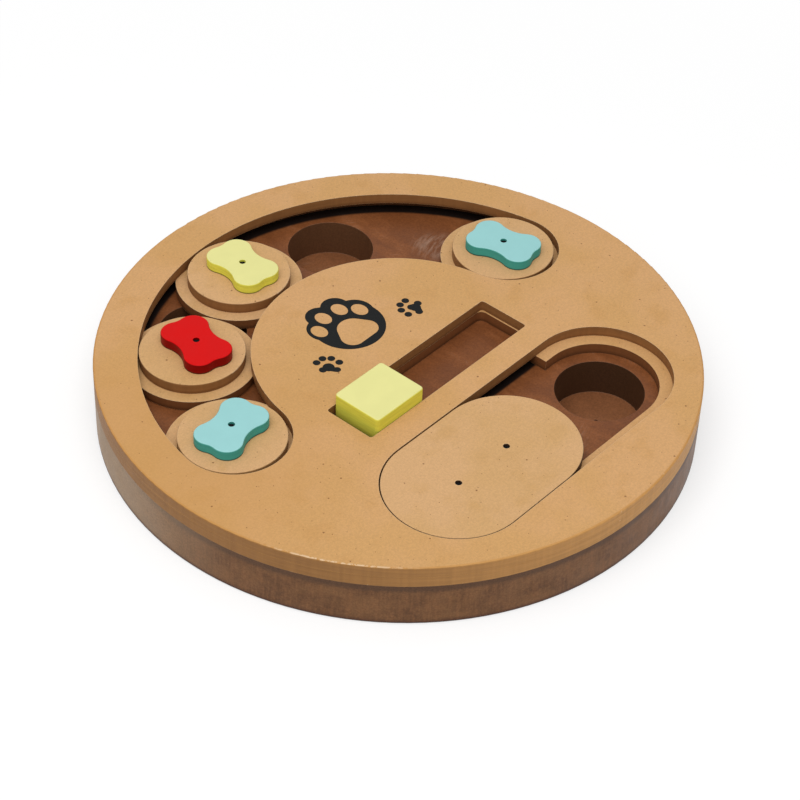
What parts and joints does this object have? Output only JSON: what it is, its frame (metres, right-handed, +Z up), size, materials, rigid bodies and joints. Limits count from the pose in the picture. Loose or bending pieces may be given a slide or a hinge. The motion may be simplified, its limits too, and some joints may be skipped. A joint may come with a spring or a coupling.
{
  "type": "dog puzzle feeder",
  "caption": "Round wooden puzzle feeder board with bone-handled discs in an arc track, a sliding block and a sliding lid over hidden treat wells.",
  "frame": {"origin": "centre of the board's underside", "axes": "+Z up, out of the board's top; +X along the two straight slots, from the lid's closed end to the open well; the arc track is symmetric about +Y"},
  "size_m": [0.3, 0.3, 0.0431],
  "materials": {
    "light_mdf": "clear satin varnish over pale fibreboard",
    "dark_mdf": "walnut-brown stained fibreboard, satin",
    "turquoise_paint": "satin paint on wood",
    "red_paint": "satin paint on wood",
    "yellow_paint": "satin paint on wood",
    "dark_steel": "blackened"
  },
  "bodies": {
    "root": {"base_board": "dark_mdf", "track_panel": "light_mdf", "top_panel": "light_mdf"},
    "left_blue_slider": {"left_blue_flange_disc": "light_mdf", "left_blue_top_disc": "light_mdf", "left_blue_pin": "dark_steel"},
    "left_blue_handle": {"left_blue_bone_handle": "turquoise_paint"},
    "red_slider": {"red_flange_disc": "light_mdf", "red_top_disc": "light_mdf", "red_pin": "dark_steel"},
    "red_handle": {"red_bone_handle": "red_paint"},
    "yellow_slider": {"yellow_flange_disc": "light_mdf", "yellow_top_disc": "light_mdf", "yellow_pin": "dark_steel"},
    "yellow_handle": {"yellow_bone_handle": "yellow_paint"},
    "right_blue_slider": {"right_blue_flange_disc": "light_mdf", "right_blue_top_disc": "light_mdf", "right_blue_pin": "dark_steel"},
    "right_blue_handle": {"right_blue_bone_handle": "turquoise_paint"},
    "block": {"sliding_block": "yellow_paint"},
    "lid": {"lid_plate": "light_mdf", "lid_runner": "light_mdf", "lid_pin_left": "dark_steel", "lid_pin_right": "dark_steel"}
  },
  "joints": [
    {"name": "left_blue_travel", "type": "hinge", "parent": "root", "child": "left_blue_slider", "pos_m": [0.0013, 0, 0.027], "axis": [0, 0, -1], "range_deg": [0, 9]},
    {"name": "left_blue_turn", "type": "hinge", "parent": "left_blue_slider", "child": "left_blue_handle", "pos_m": [-0.09913, 0.01792, 0.038], "axis": [0, 0, 1], "continuous": true},
    {"name": "red_travel", "type": "hinge", "parent": "left_blue_slider", "child": "red_slider", "pos_m": [0.0013, 0, 0.027], "axis": [0, 0, -1], "range_deg": [0, 9]},
    {"name": "red_turn", "type": "hinge", "parent": "red_slider", "child": "red_handle", "pos_m": [-0.06685, 0.07391, 0.038], "axis": [0, 0, 1], "continuous": true},
    {"name": "yellow_travel", "type": "hinge", "parent": "red_slider", "child": "yellow_slider", "pos_m": [0.0013, 0, 0.027], "axis": [0, 0, -1], "range_deg": [0, 14]},
    {"name": "yellow_turn", "type": "hinge", "parent": "yellow_slider", "child": "yellow_handle", "pos_m": [-0.00686, 0.10099, 0.038], "axis": [0, 0, 1], "continuous": true},
    {"name": "right_blue_travel", "type": "hinge", "parent": "root", "child": "right_blue_slider", "pos_m": [0.0013, 0, 0.027], "axis": [0, 0, 1], "range_deg": [0, 15]},
    {"name": "right_blue_turn", "type": "hinge", "parent": "right_blue_slider", "child": "right_blue_handle", "pos_m": [0.09932, 0.01601, 0.038], "axis": [0, 0, 1], "continuous": true},
    {"name": "block_slide", "type": "slide", "parent": "root", "child": "block", "axis": [1, 0, 0], "range_m": [-0.0033, 0.0759]},
    {"name": "lid_slide", "type": "slide", "parent": "root", "child": "lid", "axis": [1, 0, 0], "range_m": [0, 0.0706]}
  ]
}
